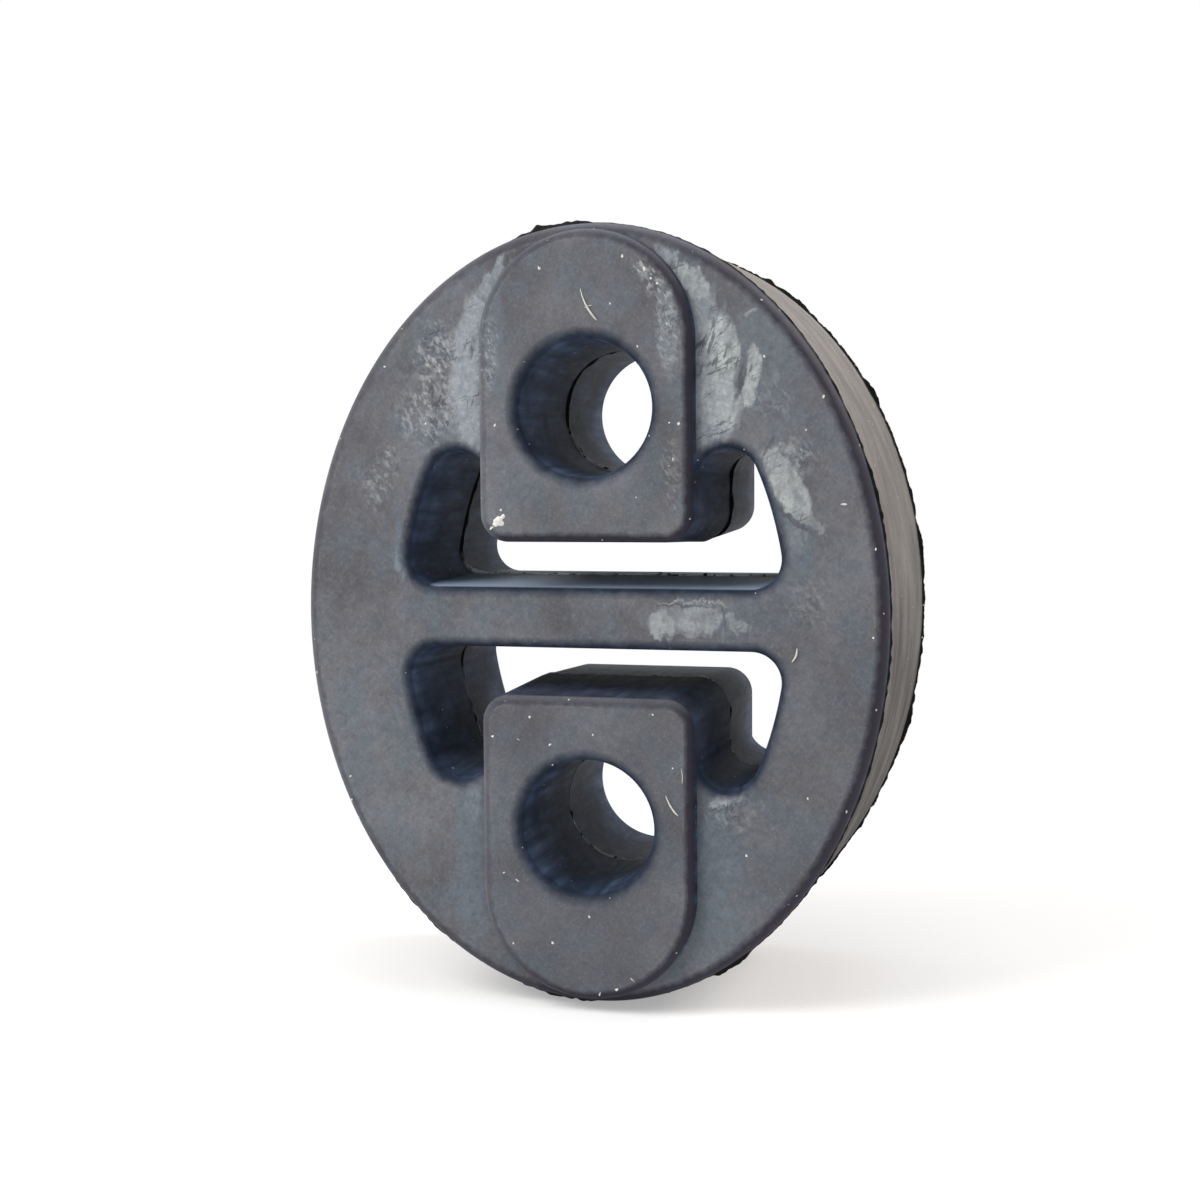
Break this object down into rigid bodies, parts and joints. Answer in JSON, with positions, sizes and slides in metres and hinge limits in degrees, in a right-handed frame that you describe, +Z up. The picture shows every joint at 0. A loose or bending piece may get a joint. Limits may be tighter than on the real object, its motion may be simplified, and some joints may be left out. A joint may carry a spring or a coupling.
{
  "type": "exhaust hanger",
  "caption": "Moulded rubber exhaust hanger: an oval ring with a web across its middle and a bored boss above and below the web, each set off from it by a U-shaped slot.",
  "frame": {"origin": "middle of the part, halfway between the bores and between the faces", "axes": "+X across the oval, +Y along the bores from front to back, +Z up, from the lower bore to the upper"},
  "size_m": [0.059, 0.03, 0.0756],
  "materials": {
    "rubber": "matte moulded black rubber, bloomed to blue-grey, scuffed and dusty"
  },
  "bodies": {
    "root": {"rubber_body": "rubber"}
  },
  "joints": []
}
